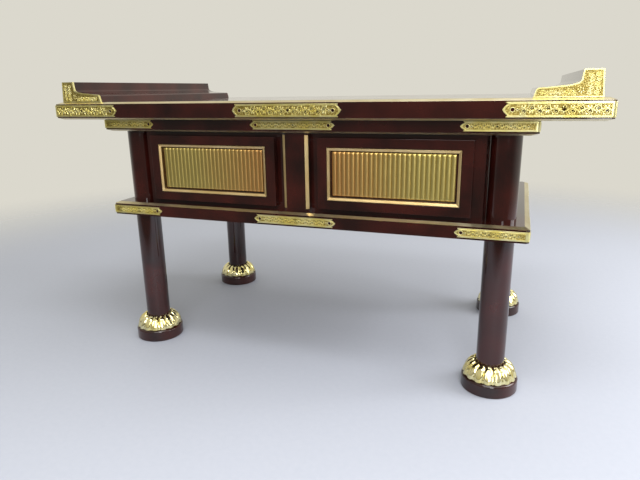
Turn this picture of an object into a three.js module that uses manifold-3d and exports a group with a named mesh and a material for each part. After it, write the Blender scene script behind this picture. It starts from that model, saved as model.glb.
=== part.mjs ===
// Lacquered altar desk with two overlay drawers, gilt edge lines and chased brass fittings.
// Millimetres, +Z up, front towards -Y. The origin is on the floor under the middle of the desk.
import * as THREE from 'three';
import { mergeVertices } from 'three/addons/utils/BufferGeometryUtils.js';
import Module from 'manifold-3d';

const wasm = await Module();
wasm.setup();

// Boards
const topWidth = 1210;
const topDepth = 628;
const topThickness = 35;
const underInsetX = 115;      // the under-board's ends, in from the top board's
const underInsetY = 31;
const underThickness = 28;
const shelfInset = 1;         // the shelf's ends, in from the under-board's
const shelfThickness = 28;
const deskHeight = 616;       // floor to the top surface
const caseHeight = 177;       // shelf to under-board
const edgeRun = 10;           // gilt chamfer on the long edges, along the face
const edgeDrop = 4;           // and across the edge
const cornerCut = 5;          // small bevel on each upright corner of a board

// Columns, feet and their lotus collars
const columnRadius = 30;
const columnInsetX = 57;      // column axes, in from the under-board's ends
const columnInsetY = 58;
const tenonRadius = 16;
const tenonLength = 20;
const tenonGap = 0.5;         // all round a tenon in its socket
const tenonEndGap = 1;        // past a tenon's end
const footStandsOut = 30;     // foot disc beyond the column
const footHeight = 30;
const footLowRound = 3;       // softened lower edge of the disc
const footHighRound = 6;      // and its rounder upper edge
const collarTopWidth = 8;     // collar beyond the column, at its top
const collarFootWidth = 26;   // and at the tips of its petals
const collarHeight = 33;
const collarLip = 1.5;        // thickness of the petals at the top
const collarHollow = 3;       // how far the ring opens inside, under the lip
const petalCount = 16;
const petalRelief = 3;        // depth of the valley between two petals
const collarGap = 0.6;        // collar to column

// Scroll ends that stand along both ends of the top board
const scrollInset = 20;       // from the board's end to the scroll end's outer face
const scrollHeight = 49.5;
const scrollFoot = 111;       // length along the board, outer face to the toe
const scrollCrest = 29.5;     // width of its flat top
const scrollLean = 4;         // the outer face and the toe lean in by this much
const scrollHollow = [        // control points of the hollow curve: past the crest, share of the height
  [2, 0.66], [3, 0.54], [10, 0.5], [22, 0.45]];
const toeHeight = 18;
const toeRound = 2;           // softened upper edge of the toe
const toeClear = 14;          // from the toe to the free middle of the surface

// Drawer case between the shelf and the under-board
const caseGapToColumn = 5;
const caseFrontInset = 37;    // case face, in from the under-board's front edge
const caseBackInset = 43;
const casePanelThickness = 12;
const partitionThickness = 22;
const railThickness = 18;
const postWidth = 60;
const postStandsOut = 20;     // the post in front of the case face
const postEdgeRun = 7;        // gilt chamfer on its two upright edges, along the face

// Drawers
const frontThickness = 18;
const frontShutGap = 0.5;     // shut drawer front to case face
const stileShow = 22.5;       // case side left showing beside a drawer front
const postShow = 20.5;        // case face left showing beside the post
const floorShow = 9.5;        // case floor left showing under a drawer front
const railShow = 12.5;        // case rail left showing over a drawer front
const sideLap = 7.5;          // how far a drawer front covers the case side
const stileLap = 5.5;         // the centre stile
const floorLap = 6.5;         // the case floor
const railLap = 5.5;          // and the top rail
const drawerSideGap = 1;
const drawerRunGap = 0.3;     // under the drawer, where it slides on the case floor
const drawerTopGap = 6;
const drawerBackGap = 8;
const drawerWall = 12;
const drawerBottomThickness = 6;
const grooveDepth = 6;
const grooveHeight = 7;       // under the groove that holds the drawer's bottom
const grooveGap = 0.2;

// Gilt frame and reeded panel let into each drawer front
const frameInsetX = 22.5;     // in from the drawer front's ends
const frameInsetZ = 21;
const frameBar = 5;
const frameOuterRound = 1.2;  // shoulders of the moulding
const frameInnerRound = 1.8;
const frameStandsOut = 2;
const pocketDepth = 9;
const seatGap = 0.3;
const panelGap = 2.7;         // dark line between the frame and the reeded panel
const panelBase = 2.5;
const reedPitch = 9.8;
const reedRise = 4.2;
const reedFullness = 0.7;     // 1 gives a sine wave; less gives fuller reeds and sharper valleys

// Chased brass fittings
const plate = 1.5;
const topCornerLength = 182;
const topMiddleLength = 243;
const topHoleInset = 17.5;
const lowerCornerLength = 142;
const lowerMiddleLength = 194;
const lowerHoleInset = 13.5;
const holeRadius = 2.2;
const pointDepth = 7;         // from a fitting's tip back to the notch beside it
const pointShare = 0.62;      // half-height of the pointed part, as a share of the plate's
const notchDepth = 3.5;
const cuspDepth = 6.5;        // from the tip back to the plate's square end
const bendGap = 0.3;          // inside the bend of a corner fitting
const lipDepth = 7;           // how far a scroll fitting's lip runs back over the curve

// Fineness of the round shapes
const columnSides = 24;
const footSides = 28;
const holeSides = 8;
const reedSteps = 3;
const petalSteps = 3;

// How far cutting bodies stand past what they cut
const over = 1;

// Levels and lines that follow from the sizes above
const topBottom = deskHeight - topThickness;
const underBottom = topBottom - underThickness;
const underWidth = topWidth - 2 * underInsetX;
const underDepth = topDepth - 2 * underInsetY;
const shelfWidth = underWidth - 2 * shelfInset;
const shelfHeight = underBottom - caseHeight;
const shelfBottom = shelfHeight - shelfThickness;
const columnX = underWidth / 2 - columnInsetX;
const columnY = underDepth / 2 - columnInsetY;
const footRadius = columnRadius + footStandsOut;
const collarTopRadius = columnRadius + collarTopWidth;
const collarFootRadius = columnRadius + collarFootWidth;
const caseHalf = columnX - columnRadius - caseGapToColumn;
const caseFront = underDepth / 2 - caseFrontInset;
const caseBack = underDepth / 2 - caseBackInset;
const sideInner = caseHalf - stileShow - sideLap;
const stileHalf = postWidth / 2 + postShow + stileLap;
const floorTop = shelfHeight + floorShow + floorLap;
const railBottom = underBottom - railShow - railLap;
const frontInner = postWidth / 2 + postShow;
const frontOuter = caseHalf - stileShow;
const frontBottom = shelfHeight + floorShow;
const frontTop = underBottom - railShow;
const frontBack = -caseFront - frontShutGap;
const frontFace = frontBack - frontThickness;
const pocketFloor = frontFace + pocketDepth;
const frameWidth = frontOuter - frontInner - 2 * frameInsetX;
const frameHeight = frontTop - frontBottom - 2 * frameInsetZ;

const lacquer = { color: 0x3a1614, roughness: 0.12, metalness: 0 };
const rawWood = { color: 0xb58a5a, roughness: 0.7, metalness: 0 };
const gilt = { color: 0xd9b65a, roughness: 0.3, metalness: 1 };
const brass = { color: 0xd8c070, roughness: 0.35, metalness: 1 };

const desk = new THREE.Group();
desk.name = 'altar_desk';

function addPart(name, geometry, look, x = 0, y = 0, z = 0) {
  const mesh = new THREE.Mesh(geometry, new THREE.MeshStandardMaterial(look));
  mesh.name = name;
  mesh.position.set(x, y, z);
  desk.add(mesh);
}

// Box between two corners
function block(x0, x1, y0, y1, z0, z1) {
  const geometry = new THREE.BoxGeometry(x1 - x0, y1 - y0, z1 - z0);
  return geometry.translate((x0 + x1) / 2, (y0 + y1) / 2, (z0 + z1) / 2);
}

function shapeOf(points) {
  return new THREE.Shape(points.map(([u, v]) => new THREE.Vector2(u, v)));
}

// Outline drawn in X and Y, raised along Z
function prismZ(shape, z0, z1) {
  const geometry = new THREE.ExtrudeGeometry(shape, { depth: z1 - z0, bevelEnabled: false });
  return geometry.translate(0, 0, z0);
}

// Outline drawn in X and Z, run along Y
function prismY(shape, y0, y1) {
  const geometry = new THREE.ExtrudeGeometry(shape, { depth: y1 - y0, bevelEnabled: false });
  return geometry.rotateX(Math.PI / 2).translate(0, y1, 0);
}

// Outline drawn in Y and Z, run along X
function prismX(shape, x0, x1) {
  const geometry = new THREE.ExtrudeGeometry(shape, { depth: x1 - x0, bevelEnabled: false });
  const turn = new THREE.Matrix4().makeBasis(
    new THREE.Vector3(0, 1, 0), new THREE.Vector3(0, 0, 1), new THREE.Vector3(1, 0, 0));
  return geometry.applyMatrix4(turn).translate(x0, 0, 0);
}

// Revolved about Z from points of radius and height
function turned(profile, sides = columnSides) {
  const points = profile.map(([r, z]) => new THREE.Vector2(r, z));
  return new THREE.LatheGeometry(points, sides).rotateX(Math.PI / 2);
}

function meshOf(vertices, triangles) {
  const geometry = new THREE.BufferGeometry();
  geometry.setAttribute('position', new THREE.Float32BufferAttribute(vertices.flat(), 3));
  geometry.setIndex(triangles.flat());
  return geometry;
}

function toSolid(geometry) {
  const bare = geometry.clone();
  bare.deleteAttribute('normal');
  bare.deleteAttribute('uv');
  const merged = mergeVertices(bare, 1e-4);
  const vertProperties = new Float32Array(merged.attributes.position.array);
  const triVerts = new Uint32Array(merged.index.array);
  return new wasm.Manifold(new wasm.Mesh({ numProp: 3, vertProperties, triVerts }));
}

function fromSolid(solid) {
  const { vertProperties, triVerts } = solid.getMesh();
  const geometry = new THREE.BufferGeometry();
  geometry.setAttribute('position', new THREE.BufferAttribute(vertProperties, 3));
  geometry.setIndex(new THREE.BufferAttribute(triVerts, 1));
  return geometry;
}

function cut(geometry, tools) {
  return fromSolid(tools.reduce((rest, tool) => rest.subtract(toSolid(tool)), toSolid(geometry)));
}

// Copy mirrored in X, in Y or in both; one mirror turns the faces round
function mirrored(geometry, sx, sy) {
  const copy = (geometry.index ? geometry.toNonIndexed() : geometry.clone()).scale(sx, sy, 1);
  if (sx * sy < 0) {
    const place = copy.attributes.position;
    for (let i = 0; i < place.count; i += 3) {
      const a = new THREE.Vector3().fromBufferAttribute(place, i + 1);
      const b = new THREE.Vector3().fromBufferAttribute(place, i + 2);
      place.setXYZ(i + 1, b.x, b.y, b.z);
      place.setXYZ(i + 2, a.x, a.y, a.z);
    }
  }
  return copy;
}

// Skin over rings of points that close on themselves, as a picture frame or a collar does
function closedSkin(rings) {
  const around = rings[0].length;
  const triangles = [];
  rings.forEach((ring, i) => {
    const next = (i + 1) % rings.length;
    ring.forEach((point, j) => {
      const a = i * around + j;
      const b = i * around + (j + 1) % around;
      const c = next * around + j;
      const d = next * around + (j + 1) % around;
      triangles.push([a, b, d], [a, d, c]);
    });
  });
  return meshOf(rings.flat(), triangles);
}

const corners = [
  { name: 'front_left', sx: -1, sy: -1 },
  { name: 'front_right', sx: 1, sy: -1 },
  { name: 'back_left', sx: -1, sy: 1 },
  { name: 'back_right', sx: 1, sy: 1 },
];
const sides = [{ name: 'left', sx: -1 }, { name: 'right', sx: 1 }];

// Board with bevelled upright corners and a gilt chamfer round its top edge, bottom edge or both.
// Its flat faces are split at the ends of the stretch that has to stay clear in the middle.
function board(width, depth, z0, z1, giltTop, giltBottom, clearHalf) {
  const outline = (inset) => {
    const x = width / 2 - inset;
    const y = depth / 2 - inset;
    const c = cornerCut;
    return [[clearHalf, -y], [x - c, -y], [x, -y + c], [x, y - c], [x - c, y], [clearHalf, y],
      [-clearHalf, y], [-x + c, y], [-x, y - c], [-x, -y + c], [-x + c, -y], [-clearHalf, -y]];
  };
  const levels = [[z0, giltBottom ? edgeRun : 0]];
  if (giltBottom) levels.push([z0 + edgeDrop, 0]);
  if (giltTop) levels.push([z1 - edgeDrop, 0]);
  levels.push([z1, giltTop ? edgeRun : 0]);
  const rings = levels.map(([z, inset]) => outline(inset).map(([x, y]) => [x, y, z]));
  const count = rings[0].length;
  const last = (rings.length - 1) * count;
  const triangles = [];
  for (let i = 0; i < rings.length - 1; i += 1) {
    for (let j = 0; j < count; j += 1) {
      const a = i * count + j;
      const b = i * count + (j + 1) % count;
      triangles.push([a, b, b + count], [a, b + count, a + count]);
    }
  }
  const half = count / 2;
  for (const start of [0, half]) {
    for (let j = start + 1; j < start + half - 1; j += 1) {
      triangles.push([start, j + 1, j], [last + start, last + j, last + j + 1]);
    }
  }
  for (const [a, b, c] of [[0, count - 1, half], [0, half, half - 1]]) {
    triangles.push([a, b, c], [last + a, last + c, last + b]);
  }
  return meshOf(rings.flat(), triangles);
}

function socketsAtColumns(z0, z1) {
  const radius = tenonRadius + tenonGap;
  return corners.map(({ sx, sy }) => {
    const socket = turned([[0, z0], [radius, z0], [radius, z1], [0, z1]]);
    return socket.translate(sx * columnX, sy * columnY, 0);
  });
}

function addBoards() {
  const clearTop = topWidth / 2 - scrollInset - scrollFoot - toeClear;
  addPart('top_board', board(topWidth, topDepth, topBottom, deskHeight, true, true, clearTop), lacquer);
  const under = board(underWidth, underDepth, underBottom, topBottom, false, true, caseHalf);
  addPart('under_board', cut(under,
    socketsAtColumns(underBottom - over, underBottom + tenonLength + tenonEndGap)), lacquer);
  const shelf = board(shelfWidth, underDepth, shelfBottom, shelfHeight, true, false, caseHalf);
  addPart('shelf_board', cut(shelf,
    socketsAtColumns(shelfBottom - over, shelfHeight + over)), lacquer);
}

// A lower leg's long tenon passes through the shelf into the upper column
function addColumns() {
  const r = columnRadius;
  const t = tenonRadius;
  const socketTop = shelfHeight + tenonLength + tenonEndGap;
  const leg = turned([
    [0, footHeight - tenonLength], [t, footHeight - tenonLength], [t, footHeight], [r, footHeight],
    [r, shelfBottom], [t, shelfBottom], [t, shelfHeight + tenonLength], [0, shelfHeight + tenonLength],
  ]);
  const column = turned([
    [0, socketTop], [t + tenonGap, socketTop], [t + tenonGap, shelfHeight], [r, shelfHeight],
    [r, underBottom], [t, underBottom], [t, underBottom + tenonLength], [0, underBottom + tenonLength],
  ]);
  for (const { name, sx, sy } of corners) {
    addPart(`lower_leg_${name}`, leg, lacquer, sx * columnX, sy * columnY);
    addPart(`upper_column_${name}`, column, lacquer, sx * columnX, sy * columnY);
  }
}

// Round foot with softened edges and a socket for the leg's tenon
function footDisc() {
  const socket = tenonRadius + tenonGap;
  const socketFloor = footHeight - tenonLength - tenonEndGap;
  const profile = [[0, 0], [footRadius - footLowRound, 0]];
  for (const degrees of [45, 90]) {
    const a = THREE.MathUtils.degToRad(degrees);
    profile.push([footRadius - footLowRound * (1 - Math.sin(a)), footLowRound * (1 - Math.cos(a))]);
  }
  for (const degrees of [0, 45, 90]) {
    const a = THREE.MathUtils.degToRad(degrees);
    profile.push([footRadius - footHighRound * (1 - Math.cos(a)),
      footHeight - footHighRound * (1 - Math.sin(a))]);
  }
  profile.push([socket, footHeight], [socket, socketFloor], [0, socketFloor]);
  return turned(profile, footSides);
}

// Ring of lotus petals: flared, each petal crowned, with valleys between and scalloped tips
function lotusCollar() {
  const inner = columnRadius + collarGap;
  const flare = collarFootRadius - collarTopRadius;
  const outside = [
    { out: 0.90, up: 0.00, relief: 1.3 },
    { out: 1.00, up: 0.12, relief: 1.3 },
    { out: 0.93, up: 0.36, relief: 1.0 },
    { out: 0.66, up: 0.59, relief: 0.9 },
    { out: 0.25, up: 0.79, relief: 0.7 },
    { out: 0.00, up: 0.97, relief: 0.4 },
  ];
  const inside = [[collarTopRadius - collarLip, 1], [inner + collarHollow, 0.6], [inner, 0.4], [inner, 0]];
  const rings = [];
  const steps = petalCount * petalSteps;
  for (let i = 0; i < steps; i += 1) {
    const angle = (-i / steps) * 2 * Math.PI;
    const crown = Math.abs(Math.sin(angle * petalCount / 2));
    const valley = petalRelief * (1 - crown / Math.sin(Math.PI / petalSteps));
    const section = outside.map(({ out, up, relief }) => [
      collarTopRadius + flare * out - valley * relief, collarHeight * up]);
    section.push(...inside.map(([radius, up]) => [radius, collarHeight * up]));
    rings.push(section.map(([radius, z]) => [radius * Math.cos(angle), radius * Math.sin(angle), z]));
  }
  return closedSkin(rings);
}

function addFeet() {
  const disc = footDisc();
  const collar = lotusCollar();
  for (const { name, sx, sy } of corners) {
    addPart(`foot_disc_${name}`, disc, lacquer, sx * columnX, sy * columnY);
    addPart(`lotus_collar_${name}`, collar, gilt, sx * columnX, sy * columnY, footHeight);
  }
}

// Inner side of a scroll end, from its crest down the hollow curve and out to the toe.
// X runs from the scroll end's outer face towards the middle of the desk.
function scrollInnerSide() {
  const crestEdge = scrollLean + scrollCrest;
  const hollow = new THREE.CubicBezierCurve(...scrollHollow.map(([past, share]) => (
    new THREE.Vector2(crestEdge + past, scrollHeight * share))));
  const toeEdge = scrollFoot - scrollLean;
  const points = [[crestEdge, scrollHeight]];
  points.push(...hollow.getPoints(6).map((p) => [p.x, p.y]));
  points.push([toeEdge - toeRound, toeHeight], [toeEdge, toeHeight - toeRound], [scrollFoot, 0]);
  return points;
}

// The same line moved out by a distance along its normals
function offsetLine(points, distance) {
  return points.map((point, i) => {
    const before = points[Math.max(i - 1, 0)];
    const after = points[Math.min(i + 1, points.length - 1)];
    const dx = after[0] - before[0];
    const dz = after[1] - before[1];
    const length = Math.hypot(dx, dz);
    return [point[0] - (dz / length) * distance, point[1] + (dx / length) * distance];
  });
}

function addScrollEnds() {
  const half = topDepth / 2 - edgeRun;
  const inner = scrollInnerSide();
  const body = prismY(shapeOf([[0, 0], [scrollLean, scrollHeight], ...inner].reverse()), -half, half);
  const near = offsetLine(inner, bendGap);
  const far = offsetLine(inner, plate);
  const lift = ([x, z]) => [x, Math.max(z, 0)];
  const lip = prismY(shapeOf([...near.map(lift), ...far.map(lift).reverse()]),
    -half - plate, -half + lipDepth);
  const face = prismY(shapeOf([[0, 0], [scrollLean, scrollHeight], ...far.map(lift)].reverse()),
    -half - plate, -half);
  const fitting = fromSolid(toSolid(face).add(toSolid(lip)));
  const outer = topWidth / 2 - scrollInset;
  for (const { name, sx } of sides) {
    addPart(`scroll_end_${name}`, mirrored(body, -sx, 1), lacquer, sx * outer, 0, deskHeight);
    addPart(`scroll_fitting_${name}`, mirrored(fitting, -sx, 1), brass, sx * outer, 0, deskHeight);
  }
}

// Case that carries the drawers, from the shelf up to the under-board
function addCase() {
  const back = caseBack - casePanelThickness;
  for (const { name, sx } of sides) {
    const side = block(sideInner, caseHalf, -caseFront, caseBack, shelfHeight, underBottom);
    addPart(`case_side_${name}`, mirrored(side, sx, 1), lacquer);
  }
  addPart('case_back', block(-sideInner, sideInner, back, caseBack, shelfHeight, underBottom), lacquer);
  addPart('case_floor', block(-sideInner, sideInner, -caseFront, back, shelfHeight, floorTop), lacquer);
  const railBack = -caseFront + railThickness;
  addPart('case_top_rail', block(-sideInner, sideInner, -caseFront, railBack, railBottom, underBottom),
    lacquer);
  addPart('centre_stile', block(-stileHalf, stileHalf, -caseFront, railBack, floorTop, railBottom),
    lacquer);
  const halfPartition = partitionThickness / 2;
  addPart('case_partition', block(-halfPartition, halfPartition, railBack, back, floorTop, underBottom),
    rawWood);
  const x = postWidth / 2;
  const face = -caseFront - postStandsOut;
  addPart('centre_post', prismZ(shapeOf([
    [-x, -caseFront], [-x, face + edgeDrop], [-x + postEdgeRun, face],
    [x - postEdgeRun, face], [x, face + edgeDrop], [x, -caseFront],
  ]), shelfHeight, underBottom), lacquer);
}

// Mitred gilt moulding with rounded shoulders, seated in the drawer front's pocket
function giltFrame() {
  const front = frontFace - frameStandsOut;
  const section = [[0, pocketFloor], [0, front + frameOuterRound], [frameOuterRound, front],
    [frameBar - frameInnerRound, front], [frameBar, front + frameInnerRound], [frameBar, pocketFloor]];
  const w = frameWidth / 2;
  const h = frameHeight / 2;
  const rings = [[-1, -1], [-1, 1], [1, 1], [1, -1]].map(([sx, sz]) => (
    section.map(([inset, y]) => [sx * (w - inset), y, sz * (h - inset)])));
  return closedSkin(rings);
}

// Panel of upright half-round reeds with round ends on a thin base
function reededPanel() {
  const width = frameWidth - 2 * (frameBar + panelGap);
  const height = frameHeight - 2 * (frameBar + panelGap);
  const reeds = Math.round(width / reedPitch);
  const pitch = width / reeds;
  const columns = reeds * reedSteps;
  const half = pitch / 2;
  const endRows = [0, half * 0.35, half];
  const rows = [...endRows, ...endRows.map((z) => height - z).reverse()];
  const baseFace = pocketFloor - panelBase;
  const vertices = [];
  rows.forEach((z) => {
    const fromEnd = Math.min(z, height - z, half);
    const end = Math.sqrt(1 - (1 - fromEnd / half) ** 2);
    for (let i = 0; i <= columns; i += 1) {
      const across = Math.abs(Math.sin((i / reedSteps) * Math.PI));
      const rise = reedRise * across ** reedFullness * end;
      vertices.push([-width / 2 + (i * width) / columns, baseFace - rise, z - height / 2]);
    }
  });
  const triangles = [];
  const across = columns + 1;
  for (let j = 0; j < rows.length - 1; j += 1) {
    for (let i = 0; i < columns; i += 1) {
      const a = j * across + i;
      triangles.push([a, a + 1, a + across + 1], [a, a + across + 1, a + across]);
    }
  }
  const edge = [];
  for (let i = 0; i < columns; i += 1) edge.push(i);
  for (let j = 0; j < rows.length - 1; j += 1) edge.push(j * across + columns);
  for (let i = columns; i > 0; i -= 1) edge.push((rows.length - 1) * across + i);
  for (let j = rows.length - 1; j > 0; j -= 1) edge.push(j * across);
  const first = vertices.length;
  edge.forEach((k) => vertices.push([vertices[k][0], pocketFloor, vertices[k][2]]));
  const middle = vertices.length;
  vertices.push([0, pocketFloor, 0]);
  edge.forEach((k, n) => {
    const next = (n + 1) % edge.length;
    triangles.push([k, first + n, first + next], [k, first + next, edge[next]]);
    triangles.push([first + n, middle, first + next]);
  });
  return meshOf(vertices, triangles);
}

function addDrawer(label, middle) {
  const boxOuter = (sideInner - stileHalf) / 2 - drawerSideGap;
  const boxMiddle = (sideInner + stileHalf) / 2;
  const z0 = floorTop + drawerRunGap;
  const z1 = railBottom - drawerTopGap;
  const y1 = caseBack - casePanelThickness - drawerBackGap;
  const frontMiddle = (frontInner + frontOuter) / 2;
  const frontHalf = (frontOuter - frontInner) / 2;
  const frontLevel = (frontBottom + frontTop) / 2;
  const sx = Math.sign(middle);

  const pocket = block(-frameWidth / 2 - seatGap, frameWidth / 2 + seatGap, frontFace - over, pocketFloor,
    frontLevel - frameHeight / 2 - seatGap, frontLevel + frameHeight / 2 + seatGap);
  const slab = block(-frontHalf, frontHalf, frontFace, frontBack, frontBottom, frontTop);
  addPart(`${label}_front`, cut(slab, [pocket]), lacquer, sx * frontMiddle);
  addPart(`${label}_frame`, giltFrame(), gilt, sx * frontMiddle, 0, frontLevel);
  addPart(`${label}_reeds`, reededPanel(), gilt, sx * frontMiddle, 0, frontLevel);

  const inside = boxOuter - drawerWall;
  const grooveFloor = inside + grooveDepth;
  const g0 = z0 + grooveHeight;
  const g1 = g0 + drawerBottomThickness + 2 * grooveGap;
  const wall = prismY(shapeOf([
    [inside, z0], [boxOuter, z0], [boxOuter, z1], [inside, z1],
    [inside, g1], [grooveFloor, g1], [grooveFloor, g0], [inside, g0],
  ]), frontBack, y1);
  for (const side of sides) {
    addPart(`${label}_wall_${side.name}`, mirrored(wall, side.sx, 1), rawWood, sx * boxMiddle);
  }
  addPart(`${label}_back`, block(-inside, inside, y1 - drawerWall, y1, g1, z1), rawWood, sx * boxMiddle);
  const reach = grooveFloor - grooveGap;
  addPart(`${label}_bottom`, block(-reach, reach, frontBack, y1, g0 + grooveGap, g1 - grooveGap),
    rawWood, sx * boxMiddle);
}

// Pointed end of a fitting: distance in from its tip, and height from its middle line.
// A rounded point runs into a small notch, and that into the plate's square end.
function pointedEnd(halfHeight) {
  const cuspShare = (1 + pointShare) / 2;
  const at = (along, share) => new THREE.Vector2(along, halfHeight * share);
  const point = new THREE.QuadraticBezierCurve(
    at(0, 0), at(pointDepth / 8, pointShare * 0.7), at(pointDepth, pointShare));
  const notch = new THREE.QuadraticBezierCurve(at(pointDepth, pointShare),
    at(pointDepth + notchDepth, (pointShare + cuspShare) / 2), at(pointDepth, cuspShare));
  const upper = [...point.getPoints(2), ...notch.getPoints(2).slice(1)].map((p) => [p.x, p.y]);
  upper.push([cuspDepth, halfHeight]);
  const lower = upper.slice(1).map(([along, up]) => [along, -up]).reverse();
  return [...lower, ...upper];
}

function roundHole(u, v) {
  const path = new THREE.Path();
  path.absellipse(u, v, holeRadius, holeRadius, 0, 2 * Math.PI, true);
  return new THREE.Path(path.getPoints(holeSides).slice(0, -1));
}

// Straight plate with a pointed end and a pierced hole at each side, middle line at height 0
function middleFitting(length, height, holeInset, y) {
  const end = pointedEnd(height / 2);
  const right = end.map(([along, up]) => [length / 2 - along, up]);
  const left = end.map(([along, up]) => [-length / 2 + along, up]).reverse();
  const shape = shapeOf([...right, ...left]);
  shape.holes.push(roundHole(length / 2 - holeInset, 0), roundHole(-length / 2 + holeInset, 0));
  return prismY(shape, y - plate, y);
}

// Plate bent round the corner at +X and -Y of a board, both leaves pointed and pierced
function cornerFitting(x, y, length, height, holeInset) {
  const tip = x - length;
  const tail = -y + length;
  const inner = cornerCut - 2 * bendGap;
  const bend = prismZ(shapeOf([
    [tip, -y - plate], [x + plate - cornerCut, -y - plate], [x + plate, -y - plate + cornerCut],
    [x + plate, tail], [x, tail], [x, -y + inner], [x - inner, -y], [tip, -y],
  ]), -height / 2, height / 2);
  const h = height / 2 + over;
  const end = pointedEnd(height / 2);
  const edge = end[0][0];
  const left = end.map(([along, up]) => [tip + along, up]);
  const frontMask = prismY(shapeOf([
    [tip + edge, -h], ...left, [tip + edge, h], [x + h, h], [x + h, -h]].reverse()),
    -y - plate - over, tail + over);
  const rear = end.map(([along, up]) => [tail - along, up]);
  const sideMask = prismX(shapeOf([
    [tail - edge, -h], ...rear, [tail - edge, h], [-y - h, h], [-y - h, -h]]),
    tip - over, x + plate + over);
  const frontHole = prismY(new THREE.Shape(roundHole(tip + holeInset, 0).getPoints()),
    -y - plate - over, -y + over);
  const sideHole = prismX(new THREE.Shape(roundHole(tail - holeInset, 0).getPoints()),
    x - over, x + plate + over);
  const solid = toSolid(bend).intersect(toSolid(frontMask)).intersect(toSolid(sideMask));
  return fromSolid(solid.subtract(toSolid(frontHole)).subtract(toSolid(sideHole)));
}

function addFittings() {
  const faces = [
    { name: 'top', w: topWidth, d: topDepth, z0: topBottom + edgeDrop, z1: deskHeight - edgeDrop,
      corner: topCornerLength, middle: topMiddleLength, hole: topHoleInset },
    { name: 'under', w: underWidth, d: underDepth, z0: underBottom + edgeDrop, z1: topBottom,
      corner: lowerCornerLength, middle: lowerMiddleLength, hole: lowerHoleInset },
    { name: 'shelf', w: shelfWidth, d: underDepth, z0: shelfBottom, z1: shelfHeight - edgeDrop,
      corner: lowerCornerLength, middle: lowerMiddleLength, hole: lowerHoleInset },
  ];
  for (const { name, w, d, z0, z1, corner, middle, hole } of faces) {
    const level = (z0 + z1) / 2;
    const bent = cornerFitting(w / 2, d / 2, corner, z1 - z0, hole);
    for (const place of corners) {
      addPart(`${name}_fitting_${place.name}`, mirrored(bent, place.sx, -place.sy), brass, 0, 0, level);
    }
    addPart(`${name}_fitting_middle`, middleFitting(middle, z1 - z0, hole, -d / 2), brass, 0, 0, level);
  }
}

addBoards();
addColumns();
addFeet();
addScrollEnds();
addCase();
addDrawer('left_drawer', -1);
addDrawer('right_drawer', 1);
addFittings();

export default desk;
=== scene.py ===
# %% [markdown]
# # A lacquered altar desk
# The desk is dark red-brown lacquered wood with gilt edges, chased brass and gilt lotus feet. Its
# exact parts come from a CAD model, which is loaded first and never moved. The looks are built on
# it: softened edges that catch the light, fine ornament, and the real finishes.

# %% Load the CAD model
from math import cos, hypot, pi, radians, sin, sqrt

import bmesh
import bpy
from mathutils import Matrix, Vector


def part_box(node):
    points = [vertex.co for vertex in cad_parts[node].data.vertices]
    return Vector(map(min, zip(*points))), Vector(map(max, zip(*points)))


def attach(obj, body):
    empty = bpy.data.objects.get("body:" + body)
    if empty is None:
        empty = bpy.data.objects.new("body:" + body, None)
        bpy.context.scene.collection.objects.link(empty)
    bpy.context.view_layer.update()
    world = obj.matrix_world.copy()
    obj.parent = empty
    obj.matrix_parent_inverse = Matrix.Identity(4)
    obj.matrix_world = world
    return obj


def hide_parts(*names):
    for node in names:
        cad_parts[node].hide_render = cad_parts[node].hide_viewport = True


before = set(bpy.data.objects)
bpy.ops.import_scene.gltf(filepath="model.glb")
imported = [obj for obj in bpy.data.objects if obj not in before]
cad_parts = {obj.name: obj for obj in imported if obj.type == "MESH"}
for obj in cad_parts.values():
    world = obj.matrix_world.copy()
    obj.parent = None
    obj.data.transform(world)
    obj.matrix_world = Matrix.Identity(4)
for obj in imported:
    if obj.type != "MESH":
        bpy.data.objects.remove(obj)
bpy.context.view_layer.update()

# %% [markdown]
# ## The camera
# The camera stands in front of the desk, a little to its right, and looks slightly down. Its place
# and turn were solved from the photograph, so that every board edge falls where it should. A camera
# looks down along its own -Z, so it is leant, tipped up to the horizon and turned, in that order.

# %% Camera
CAMERA_PLACE = Vector((0.4551, -1.3488, 0.6385))
CAMERA_YAW, CAMERA_PITCH, CAMERA_ROLL = 0.354, -0.273, -0.017
FOCAL_PIXELS, IMAGE_WIDTH, SENSOR_WIDTH = 536.4, 640, 36.0

lens = bpy.data.cameras.new("camera")
lens.sensor_width = SENSOR_WIDTH
lens.lens = FOCAL_PIXELS / IMAGE_WIDTH * SENSOR_WIDTH
camera = bpy.data.objects.new("camera", lens)
camera.matrix_world = (
    Matrix.Translation(CAMERA_PLACE) @ Matrix.Rotation(CAMERA_YAW, 4, "Z")
    @ Matrix.Rotation(pi / 2 + CAMERA_PITCH, 4, "X") @ Matrix.Rotation(CAMERA_ROLL, 4, "Z"))
bpy.context.scene.collection.objects.link(camera)
bpy.context.scene.camera = camera
print("camera lens, mm:", round(lens.lens, 2))

# %% [markdown]
# ## Helpers for the finishes
# Colours are written as sRGB hex values, as a paint chart gives them, and one function turns them to
# the linear values that the shader works in. Another adds one node with its settings and links.

# %% Colour and node helpers
MM = 0.001
MIX_SHARE, MIX_A, MIX_B, MIX_RESULT = 0, 6, 7, 2    # sockets of a Mix node that mixes colours
MOST_OF_NOISE = {"From Min": 0.35, "From Max": 0.65}    # most of a noise lies between these values


def colour(code):
    """Linear RGBA of an sRGB hex value."""
    parts = [int(code[i:i + 2], 16) / 255 for i in (1, 3, 5)]
    return (*[p / 12.92 if p <= 0.04045 else ((p + 0.055) / 1.055) ** 2.4 for p in parts], 1.0)


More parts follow.
